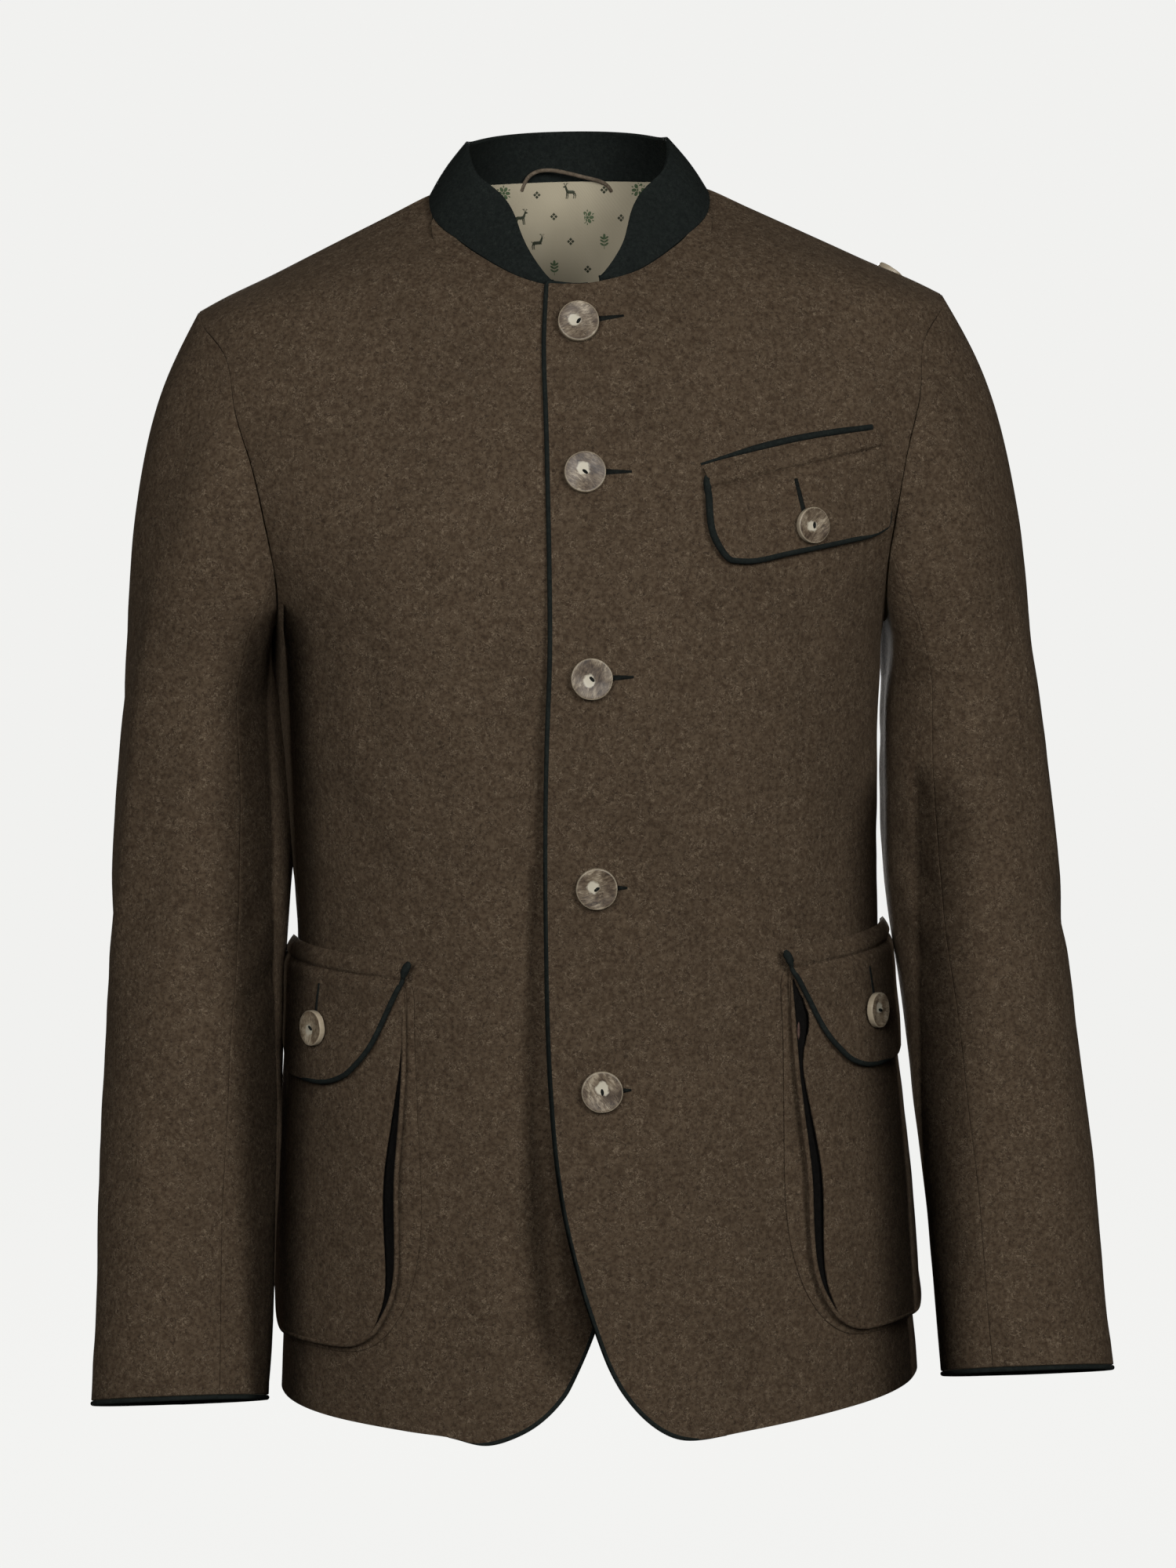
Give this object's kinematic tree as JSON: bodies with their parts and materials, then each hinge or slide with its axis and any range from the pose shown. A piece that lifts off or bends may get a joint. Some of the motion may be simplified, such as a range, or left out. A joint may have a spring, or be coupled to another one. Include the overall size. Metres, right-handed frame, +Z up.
{
  "type": "tyrolean loden jacket",
  "caption": "Hip-length loden jacket with a standing collar, horn-buttoned front, pouch pockets with flaps and piped edges, held in its worn, hollow form.",
  "frame": {"origin": "middle of the neck opening, at the height where the shoulder seams meet the collar", "axes": "+Z up, -Y out of the jacket's front, +X towards the wearer's left sleeve"},
  "size_m": [0.6066, 0.275, 0.7709],
  "materials": {
    "loden": "milled wool, brown melange",
    "green_cloth": "felt, very dark green",
    "horn": "stag horn, satin",
    "lining": "printed satin, cream",
    "hanger_tape": "twisted cord, grey brown"
  },
  "bodies": {
    "root": {"back_left": "loden", "back_right": "loden", "breast_button": "horn", "breast_flap": "loden", "breast_flap_piping": "green_cloth", "breast_stripe": "green_cloth", "collar": "green_cloth", "cuff_piping_left": "green_cloth", "cuff_piping_right": "green_cloth", "flap_left": "loden", "flap_piping_left": "green_cloth", "flap_piping_right": "green_cloth", "flap_right": "loden", "front_button_1": "horn", "front_button_2": "horn", "front_button_3": "horn", "front_button_4": "horn", "front_button_5": "horn", "front_left": "loden", "front_piping_left": "green_cloth", "front_piping_right": "green_cloth", "front_right": "loden", "gusset_left": "loden", "gusset_right": "loden", "hanger_loop": "hanger_tape", "lining_back": "lining", "pocket_button_left": "horn", "pocket_button_right": "horn", "pocket_left": "loden", "pocket_right": "loden", "shoulder_button": "horn", "top_sleeve_left": "loden", "top_sleeve_right": "loden", "under_sleeve_left": "loden", "under_sleeve_right": "loden"}
  },
  "joints": []
}
